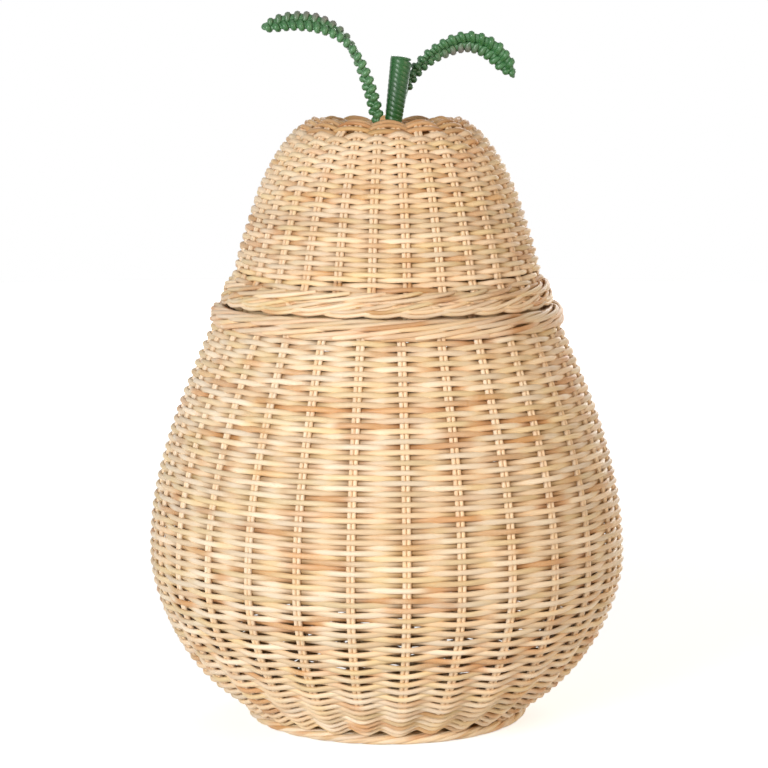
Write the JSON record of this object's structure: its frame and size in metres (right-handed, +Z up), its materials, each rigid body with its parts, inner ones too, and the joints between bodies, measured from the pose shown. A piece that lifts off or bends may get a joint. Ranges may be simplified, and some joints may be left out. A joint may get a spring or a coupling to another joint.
{
  "type": "lidded storage basket",
  "caption": "Pear-shaped woven rattan storage basket with a lift-off lid, a wound green stalk and woven green leaves.",
  "frame": {"origin": "on the basket's axis, on the plane that it stands on", "axes": "+Z up through the stalk, +X to the right leaf and -Y to the side seen in the picture"},
  "size_m": [0.3994, 0.3994, 0.5888],
  "materials": {
    "rattan_weave": "satin",
    "rattan_upright": "satin",
    "green_cane": "satin"
  },
  "bodies": {
    "basket": {"foot_border": "rattan_weave", "base_cross": "rattan_upright", "base_weave": "rattan_weave", "upsett_weave": "rattan_weave", "side_weave": "rattan_weave", "rim_border": "rattan_weave", "stake_pair_01": "rattan_upright", "stake_pair_02": "rattan_upright", "stake_pair_03": "rattan_upright", "stake_pair_04": "rattan_upright", "stake_pair_05": "rattan_upright", "stake_pair_06": "rattan_upright", "stake_pair_07": "rattan_upright", "stake_pair_08": "rattan_upright", "stake_pair_09": "rattan_upright", "stake_pair_10": "rattan_upright", "stake_pair_11": "rattan_upright", "stake_pair_12": "rattan_upright", "stake_pair_13": "rattan_upright", "stake_pair_14": "rattan_upright", "stake_pair_15": "rattan_upright", "stake_pair_16": "rattan_upright", "stake_pair_17": "rattan_upright", "stake_pair_18": "rattan_upright", "stake_pair_19": "rattan_upright", "stake_pair_20": "rattan_upright", "stake_pair_21": "rattan_upright", "stake_pair_22": "rattan_upright", "stake_pair_23": "rattan_upright", "stake_pair_24": "rattan_upright", "stake_pair_25": "rattan_upright", "stake_pair_26": "rattan_upright", "stake_pair_27": "rattan_upright", "stake_pair_28": "rattan_upright"},
    "lid": {"crown_cross": "rattan_upright", "crown_weave": "rattan_weave", "lid_weave": "rattan_weave", "lid_wale": "rattan_weave", "lid_border": "rattan_weave", "lid_collar": "rattan_weave", "lid_stakes_01": "rattan_upright", "lid_stakes_02": "rattan_upright", "lid_stakes_03": "rattan_upright", "lid_stakes_04": "rattan_upright", "lid_stakes_05": "rattan_upright", "lid_stakes_06": "rattan_upright", "lid_stakes_07": "rattan_upright", "lid_stakes_08": "rattan_upright", "lid_stakes_09": "rattan_upright", "lid_stakes_10": "rattan_upright", "lid_stakes_11": "rattan_upright", "lid_stakes_12": "rattan_upright", "lid_stakes_13": "rattan_upright", "lid_stakes_14": "rattan_upright", "stalk_core": "green_cane", "stalk_winding": "green_cane", "leaf_left_frame": "green_cane", "leaf_left_winding": "green_cane", "leaf_right_frame": "green_cane", "leaf_right_winding": "green_cane"}
  },
  "joints": [
    {"name": "lid_lift", "type": "slide", "parent": "basket", "child": "lid", "axis": [0, 0, 1], "range_m": [0, 0.35]}
  ]
}
